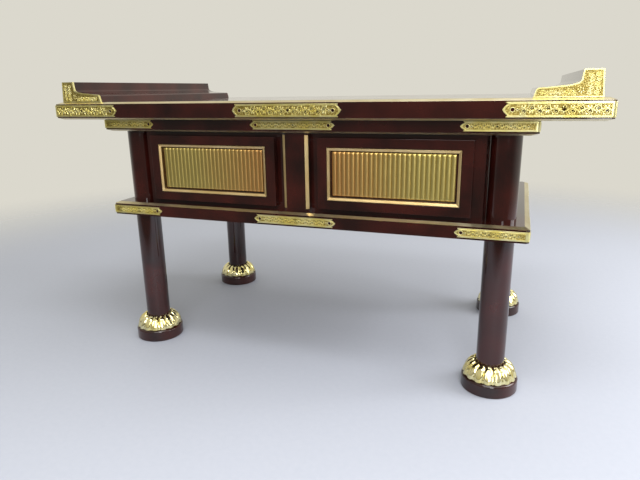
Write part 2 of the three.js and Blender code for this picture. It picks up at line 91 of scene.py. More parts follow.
def add_node(tree, kind, inputs=None, **settings):
    """Adds a node. An input is either a value or another node's output."""
    made = tree.nodes.new(kind)
    for key, value in settings.items():
        setattr(made, key, value)
    for key, value in (inputs or {}).items():
        if isinstance(value, bpy.types.NodeSocket):
            tree.links.new(value, made.inputs[key])
        else:
            made.inputs[key].default_value = value
    return made


def start_finish(name):
    """A new material with a bare shader; returns the material, its tree and its Object coordinates."""
    finish = bpy.data.materials.new(name)
    finish.use_nodes = True
    tree = finish.node_tree
    tree.nodes.clear()
    return finish, tree, add_node(tree, "ShaderNodeTexCoord").outputs["Object"]


def end_finish(tree, inputs):
    shader = add_node(tree, "ShaderNodeBsdfPrincipled", inputs)
    add_node(tree, "ShaderNodeOutputMaterial", {"Surface": shader.outputs["BSDF"]})


def per_metre(size_mm):
    """Noise scale whose spots are about this many millimetres across."""
    return 1.0 / (size_mm * MM)

# %% [markdown]
# ## Lacquer
# The boards, columns and case carry several coats of a clear brown lacquer over a red ground, rubbed
# down and polished. The eye sees a very dark red-brown, a sharp reflection on top, and a trace of
# waviness in it, which lacquer keeps even when it is polished. A coat layer over a dark base does this.

# %% Lacquer
LACQUER_DEEP, LACQUER_RED = colour("#1f0a08"), colour("#3a130e")
CLOUD_MM, PEEL_MM, PEEL_DEPTH_MM = 90, 7, 0.1    # the colour's drift, and the polish's waviness


def make_lacquer():
    finish, tree, place = start_finish("polished_brown_lacquer")
    cloud = add_node(tree, "ShaderNodeTexNoise", {
        "Vector": place, "Scale": per_metre(CLOUD_MM), "Detail": 3.0})
    share = add_node(tree, "ShaderNodeMapRange", {"Value": cloud.outputs["Fac"], **MOST_OF_NOISE})
    base = add_node(tree, "ShaderNodeMix", {
        MIX_SHARE: share.outputs["Result"], MIX_A: LACQUER_DEEP, MIX_B: LACQUER_RED},
        data_type="RGBA")
    haze = add_node(tree, "ShaderNodeMapRange", {
        "Value": cloud.outputs["Fac"], "From Min": 0.3, "From Max": 0.7, "To Min": 0.05, "To Max": 0.09})
    peel = add_node(tree, "ShaderNodeTexNoise", {
        "Vector": place, "Scale": per_metre(PEEL_MM), "Detail": 2.0})
    bump = add_node(tree, "ShaderNodeBump", {
        "Height": peel.outputs["Fac"], "Strength": 0.12, "Distance": PEEL_DEPTH_MM * MM})
    end_finish(tree, {
        "Base Color": base.outputs[MIX_RESULT], "Roughness": haze.outputs["Result"], "IOR": 1.5,
        "Coat Weight": 0.2, "Coat Roughness": 0.03, "Normal": bump.outputs["Normal"]})
    return finish


lacquer = make_lacquer()
print("lacquer made")

# %% [markdown]
# ## Gold leaf, gilt reeds, polished gold and chased brass
# Five golds share one recipe, because each is a thin metal skin. They differ in tint, in gloss and in
# how uneven the skin is. Leaf on wood is slightly crinkled. On the boards' gilt edges the leaf is
# painted paler, a painted highlight of the bright reflection along them. The reeds are a warmer gold
# whose tint is a painted reflection, orange near the desk's middle and green further out. The lotus
# feet are polished, and the brass is gilt over chased work.

# %% Golds
GLOSS_SPREAD, SKIN_MM = 0.06, 0.2    # how far the gloss drifts, and how deep the unevenness is


def make_gold(name, dark, light, drift_mm, gloss, crinkle_mm, crinkle, painted_reflection_span=None):
    """A metal skin whose tint drifts between two golds and whose surface is finely uneven.
    Given two distances from the desk's middle, the tint also changes between them, as a painted
    reflection of the room."""
    finish, tree, place = start_finish(name)
    drift = add_node(tree, "ShaderNodeTexNoise", {
        "Vector": place, "Scale": per_metre(drift_mm), "Detail": 3.0, "Roughness": 0.6})
    if painted_reflection_span:
        across = add_node(tree, "ShaderNodeSeparateXYZ", {"Vector": place})
        away = add_node(tree, "ShaderNodeMath", {0: across.outputs["X"]}, operation="ABSOLUTE")
        uneven = add_node(tree, "ShaderNodeMath", {
            0: drift.outputs["Fac"], 1: drift_mm * MM, 2: away.outputs["Value"]},
            operation="MULTIPLY_ADD")
        share = add_node(tree, "ShaderNodeMapRange", {
            "Value": uneven.outputs["Value"],
            "From Min": painted_reflection_span[0] * MM, "From Max": painted_reflection_span[1] * MM})
    else:
        share = add_node(tree, "ShaderNodeMapRange", {"Value": drift.outputs["Fac"], **MOST_OF_NOISE})
    tint = add_node(tree, "ShaderNodeMix", {
        MIX_SHARE: share.outputs["Result"], MIX_A: colour(dark), MIX_B: colour(light)},
        data_type="RGBA")
    fine = add_node(tree, "ShaderNodeTexNoise", {
        "Vector": place, "Scale": per_metre(crinkle_mm), "Detail": 4.0, "Roughness": 0.6})
    rough = add_node(tree, "ShaderNodeMapRange", {
        "Value": fine.outputs["Fac"], "From Min": 0.3, "From Max": 0.7,
        "To Min": gloss - GLOSS_SPREAD, "To Max": gloss + GLOSS_SPREAD})
    bump = add_node(tree, "ShaderNodeBump", {
        "Height": fine.outputs["Fac"], "Strength": crinkle, "Distance": SKIN_MM * MM})
    end_finish(tree, {
        "Base Color": tint.outputs[MIX_RESULT], "Metallic": 1.0,
        "Roughness": rough.outputs["Result"], "Normal": bump.outputs["Normal"]})
    return finish


gold_leaf = make_gold("gold_leaf_on_wood", "#ceb27c", "#dcc696", 60, 0.38, 6, 0.08)
# The edges' gold is painted paler than the leaf: a painted highlight.
painted_sheen_edge_gold = make_gold("gold_leaf_on_edges_painted_sheen", "#d8ca9e", "#e8debc", 60, 0.34, 6, 0.06)
# The reeds' tint runs from orange near the desk's middle to green further out: a painted reflection.
reed_gold = make_gold("gilt_reed_carving", "#c8965c", "#c6b46c", 70, 0.38, 3, 0.3,
                      painted_reflection_span=(90, 300))
petal_gold = make_gold("polished_gilt_copper", "#dfd088", "#ebe3b6", 40, 0.10, 12, 0.08)
brass = make_gold("chased_gilt_brass", "#f4e68c", "#fbf4bc", 30, 0.34, 4, 0.35)
print("golds made")

# %% [markdown]
# ## Punched ground
# Between the scrolls of the brass fittings the ground is matted with a ring punch, about one small
# round dent beside the next, and the dents keep some dark polish. Cells of a Voronoi pattern are
# close to that. Real punch marks are under a millimetre; here they are 2.2 mm, to show at all. Round
# each piercing in the curls the same ground is painted much darker: painted shade of the pierced hollow.

# %% Punched ground
PUNCH_MM, PUNCH_DEPTH_MM, PUNCH_STRENGTH = 2.2, 0.4, 0.9


def make_punched_ground(name, raised, dents_tint):
    finish, tree, place = start_finish(name)
    dents = add_node(tree, "ShaderNodeTexVoronoi", {"Vector": place, "Scale": per_metre(PUNCH_MM)})
    dirt = add_node(tree, "ShaderNodeMapRange", {
        "Value": dents.outputs["Distance"], "From Min": 0.1, "From Max": 0.6})
    tint = add_node(tree, "ShaderNodeMix", {
        MIX_SHARE: dirt.outputs["Result"], MIX_A: colour(raised), MIX_B: colour(dents_tint)},
        data_type="RGBA")
    bump = add_node(tree, "ShaderNodeBump", {
        "Height": dents.outputs["Distance"], "Strength": PUNCH_STRENGTH,
        "Distance": PUNCH_DEPTH_MM * MM})
    end_finish(tree, {
        "Base Color": tint.outputs[MIX_RESULT], "Metallic": 1.0, "Roughness": 0.45,
        "Normal": bump.outputs["Normal"]})
    return finish


punched_ground = make_punched_ground("punched_brass_ground", "#ecdc90", "#94803c")
# The second ground is painted shade, much darker, and is laid round each piercing in the curls.
shaded_ground = make_punched_ground("brass_ground_painted_shade", "#8c7834", "#34290e")
print("punched ground made")

# %% [markdown]
# ## Planed wood
# Inside, the drawers and the partition are bare softwood. Planed softwood shows bands of early and
# late wood and fine fibres, both stretched along the board. Noise that is squeezed across the grain
# and drawn out along it gives both.

# %% Planed wood
BAND_MM, FIBRE_MM = (16, 420), (1.6, 70)    # sizes across the grain and along it
EARLY_WOOD, LATE_WOOD, DARK_FIBRE = colour("#d3b184"), colour("#bd9260"), colour("#9a7040")


def make_wood(name, along):
    """Bare softwood whose grain runs along axis 0, 1 or 2."""
    finish, tree, place = start_finish(name)
    stretched = add_node(tree, "ShaderNodeMapping", {
        "Vector": place, "Scale": [per_metre(BAND_MM[axis == along]) for axis in range(3)]})
    bands = add_node(tree, "ShaderNodeTexNoise", {
        "Vector": stretched.outputs["Vector"], "Scale": 1.0, "Detail": 3.0, "Distortion": 0.6})
    drawn = add_node(tree, "ShaderNodeMapping", {
        "Vector": place, "Scale": [per_metre(FIBRE_MM[axis == along]) for axis in range(3)]})
    fibres = add_node(tree, "ShaderNodeTexNoise", {
        "Vector": drawn.outputs["Vector"], "Scale": 1.0, "Detail": 2.0})
    share = add_node(tree, "ShaderNodeMapRange", {
        "Value": bands.outputs["Fac"], "From Min": 0.38, "From Max": 0.62})
    banded = add_node(tree, "ShaderNodeMix", {
        MIX_SHARE: share.outputs["Result"], MIX_A: EARLY_WOOD, MIX_B: LATE_WOOD}, data_type="RGBA")
    streak = add_node(tree, "ShaderNodeMapRange", {
        "Value": fibres.outputs["Fac"], "From Min": 0.55, "From Max": 0.8, "To Max": 0.5})
    tint = add_node(tree, "ShaderNodeMix", {
        MIX_SHARE: streak.outputs["Result"], MIX_A: banded.outputs[MIX_RESULT], MIX_B: DARK_FIBRE},
        data_type="RGBA")
    bump = add_node(tree, "ShaderNodeBump", {
        "Height": fibres.outputs["Fac"], "Strength": 0.25, "Distance": 0.1 * MM})
    end_finish(tree, {
        "Base Color": tint.outputs[MIX_RESULT], "Roughness": 0.55,
        "Normal": bump.outputs["Normal"]})
    return finish


wood_along_x = make_wood("planed_softwood_crosswise", 0)
wood_along_y = make_wood("planed_softwood_lengthwise", 1)
print("wood made")

# %% [markdown]
# ## Helpers for drawing
# Meshes are drawn in millimetres, as a workshop drawing is, and become metres when a piece is
# finished. The operators that most pieces need, such as an extrude that also moves what it made, are
# wrapped once here.

# %% Drawing helpers
VERT, FACE = bmesh.types.BMVert, bmesh.types.BMFace


def everything(bm):
    return bm.verts[:] + bm.edges[:] + bm.faces[:]


def only(kind, made):
    """The verts or the faces among what an operator has made."""
    return [item for item in made["geom"] if isinstance(item, kind)]


def shift(bm, x, y, z, verts=None):
    bmesh.ops.translate(bm, vec=(x, y, z), verts=verts or bm.verts)


def extrude(bm, faces, x, y, z, keep=False):
    """Draws faces out by a step; returns the new faces."""
    made = bmesh.ops.extrude_face_region(bm, geom=faces, use_keep_orig=keep)
    shift(bm, x, y, z, only(VERT, made))
    return only(FACE, made)


def take_in(bm, other):
    """Adds another drawn body to this one."""
    spare = bpy.data.meshes.new("spare")
    other.to_mesh(spare)
    other.free()
    bm.from_mesh(spare)
    bpy.data.meshes.remove(spare)


def slit(bm, point, normal):
    """Cuts every face that a plane crosses in two, and leaves both parts."""
    bmesh.ops.bisect_plane(bm, geom=everything(bm), plane_co=point, plane_no=normal)


def weld(bm, distance):
    bmesh.ops.remove_doubles(bm, verts=bm.verts, dist=distance)


def stretch(bm, x, y, z):
    bmesh.ops.scale(bm, vec=(x, y, z), verts=bm.verts)


def face_outward(bm):
    bmesh.ops.recalc_face_normals(bm, faces=bm.faces)


print("drawing helpers ready, one metre is", round(1 / MM), "mm")

# %% [markdown]
# ## Helpers for the pieces
# A drawn body becomes a piece here: it is turned to metres, rides on its node's body and stands for
# that node. Edges sharper than a given angle stay sharp and the rest are shaded smooth.

# %% Piece helpers
DRAWERS = ("left_drawer", "right_drawer")


def new_object(name, bm, finishes):
    """A drawn body becomes an object of the scene, at the origin."""
    mesh = bpy.data.meshes.new(name)
    bm.to_mesh(mesh)
    bm.free()
    for finish in finishes:
        mesh.materials.append(finish)
    made = bpy.data.objects.new(name, mesh)
    bpy.context.scene.collection.objects.link(made)
    return made


def box_mm(node):
    """Lowest and highest corner of a CAD node, in millimetres."""
    low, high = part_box(node)
    return low / MM, high / MM


def add_piece(look, node, bm, slot, *finishes, sharp=32, even=True):
    """Makes a mesh in millimetres into the piece that stands for a CAD node, on the node's body.
    Even shading keeps broad faces flat to the eye."""
    stretch(bm, MM, MM, MM)
    for face in bm.faces:
        face.smooth = True
    for edge in bm.edges:
        edge.smooth = not edge.is_manifold or edge.calc_face_angle() < radians(sharp)
    piece = new_object(f"{look}_{node}", bm, finishes)
    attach(piece, next((drawer for drawer in DRAWERS if node.startswith(drawer)), "desk"))
    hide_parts(node)
    if even:
        piece.modifiers.new("even_shading", "WEIGHTED_NORMAL").keep_sharp = True
    return piece


def merged_copy(node):
    """A copy of a CAD node's mesh in millimetres, its triangles joined into whole faces."""
    bm = bmesh.new()
    bm.from_mesh(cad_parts[node].data)
    stretch(bm, 1 / MM, 1 / MM, 1 / MM)
    weld(bm, 0.01)
    bmesh.ops.dissolve_limit(bm, angle_limit=radians(0.5), verts=bm.verts, edges=bm.edges)
    return bm


def soften(bm, width, least=15, segments=2, above=None):
    """Rounds the edges that turn by more than the least angle, or only those above a height."""
    edges = [e for e in bm.edges if e.is_manifold and e.calc_face_angle() > radians(least)
             and (above is None or all(v.co.z > above for v in e.verts))]
    bmesh.ops.bevel(bm, geom=edges, offset=width, offset_type="OFFSET", segments=segments,
                    profile=0.5, affect="EDGES", clamp_overlap=above is None, material=-1)


def add_softened(look, node, slot, finish, width, segments=2):
    """A piece that is its CAD node with rounded edges."""
    bm = merged_copy(node)
    soften(bm, width, segments=segments)
    add_piece(look, node, bm, slot, finish)

# %% [markdown]
# ## Boards
# Each board has a long flat chamfer on its gilt edges and a small bevel on its upright corners. Real
# edges are never knife sharp: the lacquer rounds them by about half a millimetre, and that is what
# draws the thin bright line along them. The CAD board is copied, softened, and its chamfers gilded.
# In the photograph the boards are a few millimetres thicker than in the CAD, so the copy's lower and
# upper faces are moved apart.

# %% Boards
CHAMFER_RUN, CHAMFER_DROP, BOARD_EASE = 10, 4, 0.5
# How far the bottom and the top of each board lie above the CAD's, and which of them is gilt
BOARDS = {"top_board": (-2.0, 3.0, True, True), "under_board": (-2.3, 0.0, True, False),
          "shelf_board": (-1.7, 1.0, False, True)}


def lacquered_board(node, down, up, gilt_bottom, gilt_top):
    """A CAD board with its lower and upper faces moved, and the second finish on its chamfers."""
    bm = merged_copy(node)
    low, high = box_mm(node)
    for vert in bm.verts:
        vert.co.z += up if vert.co.z > (low.z + high.z) / 2 else down
    soften(bm, BOARD_EASE)
    for face in bm.faces:
        c = face.calc_center_median()
        near_edge = (min(c.x - low.x, high.x - c.x) < CHAMFER_RUN
                     or min(c.y - low.y, high.y - c.y) < CHAMFER_RUN)
        on_bottom = gilt_bottom and c.z < low.z + down + CHAMFER_DROP
        on_top = gilt_top and c.z > high.z + up - CHAMFER_DROP
        if near_edge and (on_top or on_bottom) and abs(face.normal.z) < 0.999:
            face.material_index = 1
    return bm


# Their chamfers take the gold that is painted paler, a painted highlight.
for node, shape in BOARDS.items():
    add_piece("lacquered", node, lacquered_board(node, *shape), "lacquer", lacquer, painted_sheen_edge_gold)
print("boards softened and gilded")

# %% [markdown]
# ## Case, post and drawer boxes
# These are plain joiner's boards, so each is a softened copy of its CAD node. The centre post's two
# front edges are gilt: they are the narrow faces that are turned half to the side. The gilding stops
# short of both boards. The drawer's frame is a mitred moulding whose face falls towards the reeds.

# %% Joiner's boards
CASE_EASE, BOX_EASE, FRONT_EASE, BAR_EASE, SCROLL_EASE = 0.6, 0.5, 1.2, 0.3, 0.8
for node in ("case_side_left", "case_side_right", "case_back", "case_floor", "case_top_rail",
             "centre_stile"):
    add_softened("lacquered", node, "lacquer", lacquer, CASE_EASE)

GILDING_STARTS, GILDING_STOPS = 8, 7.5    # above the bottom and under the top of the post
low, high = box_mm("centre_post")
gilt_low, gilt_high = low.z + GILDING_STARTS, high.z - GILDING_STOPS
bm = merged_copy("centre_post")
soften(bm, BOARD_EASE)
for height in (gilt_low, gilt_high):
    slit(bm, (0, 0, height), (0, 0, 1))
for face in bm.faces:
    gilt = gilt_low < face.calc_center_median().z < gilt_high
    if gilt and abs(face.normal.x) > 0.2 and face.normal.y < -0.2:
        face.material_index = 1
add_piece("lacquered", "centre_post", bm, "lacquer", lacquer, gold_leaf)

add_softened("planed", "case_partition", "raw_wood", wood_along_y, BOX_EASE)

# The frame's moulding: its width, how far its face falls, where that starts, how its edge is eased
FRAME_BAR, FRAME_FALL, FRAME_CROWN, FRAME_EASE = 5.8, 3.0, 1.4, 0.5


def moulded_frame(low, high):
    """Four mitred bars; each point of their profile is how far in it lies, and its y."""
    profile = ((0, high.y), (0, low.y + FRAME_EASE), (FRAME_EASE, low.y), (FRAME_CROWN, low.y),
               (FRAME_BAR, low.y + FRAME_FALL), (FRAME_BAR, high.y))
    bm = bmesh.new()
    rings = [[bm.verts.new(corner) for corner in (
        (low.x + inset, y, low.z + inset), (high.x - inset, y, low.z + inset),
        (high.x - inset, y, high.z - inset), (low.x + inset, y, high.z - inset))]
        for inset, y in profile]
    for ring, other in zip(rings, rings[1:] + rings[:1]):
        for i in range(4):
            j = (i + 1) % 4
            bm.faces.new((ring[i], ring[j], other[j], other[i]))
    face_outward(bm)
    return bm


for drawer in DRAWERS:
    for part, wood in (("_wall_left", wood_along_y), ("_wall_right", wood_along_y),
                       ("_back", wood_along_x), ("_bottom", wood_along_x)):
        add_softened("planed", drawer + part, "raw_wood", wood, BOX_EASE)
    add_softened("lacquered", drawer + "_front", "lacquer", lacquer, FRONT_EASE, segments=3)
    bm = moulded_frame(*box_mm(drawer + "_frame"))
    soften(bm, BAR_EASE, least=40)
    add_piece("gilt", drawer + "_frame", bm, "gilt_wood", gold_leaf)
print("case and drawers softened")

# %% [markdown]
# ## Columns and feet
# The round parts are turned on a lathe, and spinning a profile is the same operation. The profile
# runs from the axis out and back to it. Where it meets the axis, the copies of one point are merged.

# %% Turned parts
TURNING_STEPS = 72
COLUMN_EDGES, DISC_EDGES = (0.6, 0.6, 3), (3, 6, 6)    # radius below and above, steps of each


def turn_profile(profile, x, y):
    """Spins a list of (radius, height) about an upright axis at x, y."""
    bm = bmesh.new()
    points = [bm.verts.new((radius, 0, height)) for radius, height in profile]
    edges = [bm.edges.new(pair) for pair in zip(points, points[1:])]
    bmesh.ops.spin(bm, geom=points + edges, cent=(0, 0, 0), axis=(0, 0, 1), angle=2 * pi,
                   steps=TURNING_STEPS, use_merge=True)
    weld(bm, 0.001)
    face_outward(bm)
    shift(bm, x, y, 0)
    return bm


def quarter(radius, height, size, start, steps):
    """A rounded shoulder: points on a quarter circle about (radius, height)."""
    angles = [radians(start + 90 * i / steps) for i in range(steps + 1)]
    return [(radius + size * cos(a), height + size * sin(a)) for a in angles]


def round_profile(low, high, under, over, steps):
    """A straight round part whose lower and upper edges are rounded."""
    radius = (high.x - low.x) / 2
    return [(0, low.z), *quarter(radius - under, low.z + under, under, -90, steps),
            *quarter(radius - over, high.z - over, over, 0, steps), (0, high.z)]


CORNERS = {"front_left": (-1, 1), "front_right": (1, 1), "back_left": (-1, -1), "back_right": (1, -1)}
shelf, under = box_mm("shelf_board"), box_mm("under_board")
for corner in CORNERS:
    disc, leg, column = (box_mm(part + corner)
                         for part in ("foot_disc_", "lower_leg_", "upper_column_"))
    axis = (disc[0] + disc[1]) / 2
    leg[0].z, leg[1].z = disc[1].z, shelf[0].z
    column[0].z, column[1].z = shelf[1].z, under[0].z
    for part, span, edges in (("lower_leg_", leg, COLUMN_EDGES), ("upper_column_", column, COLUMN_EDGES),
                              ("foot_disc_", disc, DISC_EDGES)):
        bm = turn_profile(round_profile(*span, *edges), axis.x, axis.y)
        add_piece("turned", part + corner, bm, "lacquer", lacquer)
print("columns and feet turned")

# %% [markdown]
# ## Lotus collars
# A ring of lotus petals hides the joint between a column and its foot. Each petal is beaten out of
# thin metal: it bulges outward, falls to a sharp valley at either side, and has a long flat oval
# raised in its middle. The valleys are what the eye counts, and the oval mirrors something else than
# the slope round it does. One petal is a flat grid whose points are moved, and spinning copies it
# round the column. A second ring, turned by half a petal, shows its tips between the first.

# %% Lotus collars
PETALS = 16
COLUMN_GAP, DISC_MARGIN, HEM = 1.5, 2.5, 0.4    # to the column, to the disc's edge, above the disc
# How far down a point of the petal lies and how far it flares, as shares, from the top to the tip
PETAL_FLARE = ((0.00, 0.00), (0.05, 0.20), (0.11, 0.36), (0.19, 0.52), (0.29, 0.67), (0.41, 0.79),
               (0.55, 0.88), (0.70, 0.93), (0.85, 0.965), (1.00, 1.00))
VALLEY, VALLEY_SHARPNESS, TIP_LIFT, TOP_DROP = 4.6, 2.4, 2.6, 5.0
END_ZONE, END_CURVE = 0.3, 1.5    # the share of the petal over which either end is shaped, and how
# The raised oval: its middle and its half sizes as shares, how far it stands out, the share of it
# that slopes, and how flat it is
OVAL_MIDDLE, OVAL_WIDE, OVAL_TALL, OVAL_RAISED = 0.50, 0.62, 0.36, 1.0
OVAL_SLOPE, OVAL_FLATNESS = 0.3, 0.7
# The second ring starts part of the way down, and lies inside the first by these amounts
UNDER_START, UNDER_TOP_IN, UNDER_TIP_IN, UNDER_DROP = 0.4, 2, 2.4, 1
COLLAR_SHEET = 1.0


def read_curve(points, t):
    """Value at t on a smooth line through (t, value) points."""
    slopes = [(b[1] - a[1]) / (b[0] - a[0]) for a, b in zip(points, points[1:])]
    at_point = [slopes[0]] + [(a + b) / 2 for a, b in zip(slopes, slopes[1:])] + [slopes[-1]]
    k = next((i for i, point in enumerate(points[1:]) if t <= point[0]), len(slopes) - 1)
    (t0, v0), (t1, v1) = points[k], points[k + 1]
    span = t1 - t0
    s = (t - t0) / span
    return (v0 * (1 + 2 * s) * (1 - s) ** 2 + v1 * s * s * (3 - 2 * s)
            + span * (at_point[k] * s * (1 - s) ** 2 - at_point[k + 1] * s * s * (1 - s)))


def smooth_step(x):
    x = min(max(x, 0), 1)
    return x * x * (3 - 2 * x)


def petal_ring(top_radius, tip_radius, low, high, start, across, down, turned_by):
    """A ring of petals between two heights, as one open skin that starts a share of the way down."""
    bm = bmesh.new()
    bmesh.ops.create_grid(bm, x_segments=across, y_segments=down, size=1)
    half_angle = pi / PETALS
    slope_top, slope_tip = (OVAL_MIDDLE - OVAL_TALL, OVAL_MIDDLE + OVAL_TALL)
    flare_top, flare_tip = (read_curve(PETAL_FLARE, t) for t in (slope_top, slope_tip))
    for vert in bm.verts:
        side, t = vert.co.x, start + (1 - start) * (1 - vert.co.y) / 2
        edge = abs(side)
        flare = read_curve(PETAL_FLARE, t)
        straight = flare_top + (flare_tip - flare_top) * (t - slope_top) / (slope_tip - slope_top)
        away = hypot(side / OVAL_WIDE, (t - OVAL_MIDDLE) / OVAL_TALL)
        oval = smooth_step((1 - away) / OVAL_SLOPE)
        bulge = VALLEY * edge ** VALLEY_SHARPNESS * smooth_step(t / END_ZONE)
        flattened = flare + (straight - flare) * oval * OVAL_FLATNESS
        radius = top_radius + (tip_radius - top_radius) * flattened
        radius += OVAL_RAISED * oval - bulge
        height = high - (high - low) * t
        height += TIP_LIFT * edge ** 3 * max(0.0, (t - (1 - END_ZONE)) / END_ZONE) ** END_CURVE
        height -= TOP_DROP * edge ** 3 * max(0.0, (END_ZONE - t) / END_ZONE) ** END_CURVE
        angle = side * half_angle + turned_by
        vert.co = (radius * sin(angle), -radius * cos(angle), height)
    bmesh.ops.spin(bm, geom=everything(bm), cent=(0, 0, 0), axis=(0, 0, 1),
                   angle=2 * pi * (PETALS - 1) / PETALS, steps=PETALS - 1, use_duplicate=True)
    weld(bm, 0.01)
    return bm


def lotus_collar(low, high, column_radius, disc_radius):
    top_radius, tip_radius = column_radius + COLUMN_GAP, disc_radius - DISC_MARGIN
    bm = petal_ring(top_radius, tip_radius, low.z + HEM, high.z, 0, 20, 26, 0)
    take_in(bm, petal_ring(top_radius - UNDER_TOP_IN, tip_radius - UNDER_TIP_IN, low.z + HEM,
                           high.z - UNDER_DROP, UNDER_START, 12, 12, pi / PETALS))
    face_outward(bm)
    return bm


for corner in CORNERS:
    node = "lotus_collar_" + corner
    low, high = box_mm(node)
    leg, disc = box_mm("lower_leg_" + corner), box_mm("foot_disc_" + corner)
    bm = lotus_collar(low, high, (leg[1].x - leg[0].x) / 2, (disc[1].x - disc[0].x) / 2)
    shift(bm, (low.x + high.x) / 2, (low.y + high.y) / 2, 0)
    collar = add_piece("petalled", node, bm, "gilt_wood", petal_gold, sharp=60, even=False)
    wall = collar.modifiers.new("metal_thickness", "SOLIDIFY")
    wall.thickness, wall.offset = COLLAR_SHEET * MM, -1
print("lotus collars beaten")

# %% [markdown]
# ## Scroll ends
# The scroll ends keep a brush or a rolled sutra from falling off. Each is one long moulding: an
# upright outer face, a flat crest, a hollow curve and a low toe. The outline is drawn once, filled,
# and drawn out along the depth of the board. Its long edges are then rounded.

# %% Scroll ends
PLATE = 1.5    # thickness of the brass
scroll_low, scroll_high = box_mm("scroll_end_right")
SCROLL_LEAN, SCROLL_CREST, TOE_HEIGHT = 4, 29.5, 18
SIDES = ((-1, "left"), (1, "right"))
SCROLL_HEIGHT, SCROLL_FOOT = scroll_high.z - scroll_low.z, scroll_high.x - scroll_low.x


def bezier(a, b, c, d, steps):
    """Points on a cubic curve, both ends included."""
    made = []
    for i in range(steps + 1):
        t = i / steps
        made.append(tuple(
            (1 - t) ** 3 * p + 3 * (1 - t) ** 2 * t * q + 3 * (1 - t) * t * t * r + t ** 3 * s
            for p, q, r, s in zip(a, b, c, d)))
    return made


def scroll_inner_line():
    """From the crest down the hollow to the toe; x from the outer face, z from the board."""
    crest, tall, toe = SCROLL_LEAN + SCROLL_CREST, SCROLL_HEIGHT, SCROLL_FOOT - SCROLL_LEAN
    hollow = bezier((crest + 2, tall * 0.66), (crest + 3, tall * 0.54), (crest + 10, tall * 0.50),
                    (crest + 22, tall * 0.45), 14)
    return [(crest, tall), *hollow, (toe - 2, TOE_HEIGHT), (toe, TOE_HEIGHT - 2), (SCROLL_FOOT, 0)]


def filled(points):
    """A flat face whose outline runs through the points."""
    bm = bmesh.new()
    bm.faces.new([bm.verts.new(point) for point in points])
    return bm


def drawn_out(outline, y0, y1):
    """An outline in X and Z, drawn out into a body between y0 and y1."""
    bm = filled([(x, y0, z) for x, z in outline])
    extrude(bm, bm.faces[:], 0, y1 - y0, 0)
    face_outward(bm)
    return bm


def mirror_to(bm, side, outer):
    """Turns a body drawn from the outer face inward into the left or the right one."""
    stretch(bm, -side, 1, 1)
    shift(bm, side * outer, 0, scroll_low.z)
    face_outward(bm)


for side, name in SIDES:
    outline = [(0, 0), (SCROLL_LEAN, SCROLL_HEIGHT), *scroll_inner_line()]
    bm = drawn_out(outline, scroll_low.y, scroll_high.y)
    soften(bm, SCROLL_EASE, least=25)
    mirror_to(bm, side, scroll_high.x)
    add_piece("lacquered", "scroll_end_" + name, bm, "lacquer", lacquer)
print("scroll ends drawn out")

# %% [markdown]
# ## Reeded panels
# Each drawer front holds a gilt panel of upright half-round reeds with round ends, like a row of
# split bamboo. A grid is raised into the reeds, so that the valleys between them run down to the
# base, and its outer edge is drawn back to the bottom of the recess.

# %% Reeded panels
REEDS, REED_RISE, PANEL_BASE = 26, 2.2, 2.9
GAP_BESIDE, GAP_BELOW, GAP_ABOVE = 2.0, 2.0, 0.6    # between the panel and its frame
REED_ACROSS, REED_ROWS = 14, 40
FULLNESS = 0.42    # 1 would be a sine wave; less gives broad reeds and narrow valleys


def reeded_panel(low, high):
    low, high = low + Vector((GAP_BESIDE, 0, GAP_BELOW)), high - Vector((GAP_BESIDE, 0, GAP_ABOVE))
    width, height = high.x - low.x, high.z - low.z
    half = width / REEDS / 2
    base = high.y - PANEL_BASE
    bm = bmesh.new()
    bmesh.ops.create_grid(bm, x_segments=REEDS * REED_ACROSS, y_segments=REED_ROWS, size=1)
    for vert in bm.verts:
        across = (vert.co.x + 1) / 2 * REEDS
        z = sin(vert.co.y * pi / 2) * height / 2
        from_end = min(height / 2 - abs(z), half)
        end = sqrt(max(0.0, 1 - (1 - from_end / half) ** 2))
        crown = abs(sin(across * pi)) ** FULLNESS
        vert.co = (low.x + across / REEDS * width, base - REED_RISE * crown * end,
                   (low.z + high.z) / 2 + z)
    rim = [e for e in bm.edges if e.is_boundary]
    for vert in only(VERT, bmesh.ops.extrude_edge_only(bm, edges=rim)):
        vert.co.y = high.y
    bmesh.ops.holes_fill(bm, edges=[e for e in bm.edges if e.is_boundary])
    face_outward(bm)
    return bm


for drawer in DRAWERS:
    node = drawer + "_reeds"
    add_piece("carved", node, reeded_panel(*box_mm(node)), "gilt_wood", reed_gold, sharp=70,
              even=False)
print("reeds carved:", REEDS, "in each panel")

# %% [markdown]
# ## Chased brass fittings
# Sheet-brass fittings cover the corners and the middle of every board. Each is a flat plate with
# rounded points, a plain rim, a bead along its inner edge, and a sunk field that a chaser has filled
# with a scrolling vine.
# The plate is drawn flat: u runs along it, v up it and n out of it. Its outlines are closed rings of
# edges, and filling the space between two rings makes the rim, the field and the eyelets apart, so
# that the field alone can be sunk.

# %% Plates with a sunk field
RIM, RIM_ROUND, FIELD_SUNK, EYELET = 3.4, 0.4, 0.65, 1.1
# The bead and the strokes rise above the rim, up to PLATE at most
RIM_LEVEL, BEAD, BEAD_SUNK = 1.0, 0.7, 0.1
# The last finish is painted shade: the darker ground round each piercing.
ON_RIM, ON_GROUND, IN_PAINTED_SHADE = 0, 1, 2    # which finish a face has


def ring_of(bm, points):
    """A closed ring of edges through points of (u, v), on the plate's back."""
    verts = [bm.verts.new((u, v, 0)) for u, v in points]
    return [bm.edges.new((a, b)) for a, b in zip(verts, verts[1:] + verts[:1])]


def circle(u, v, radius, sides=16):
    turns = [2 * pi * i / sides for i in range(sides)]
    return [(u + radius * cos(a), v + radius * sin(a)) for a in turns]


def fill_between(bm, edges):
    """Fills the area inside the outer ring, apart from what the inner rings enclose."""
    return only(FACE, bmesh.ops.triangle_fill(bm, use_beauty=True, use_dissolve=False, edges=edges))


def flat_middle(face):
    return tuple(round(c, 3) for c in face.calc_center_median().xy)


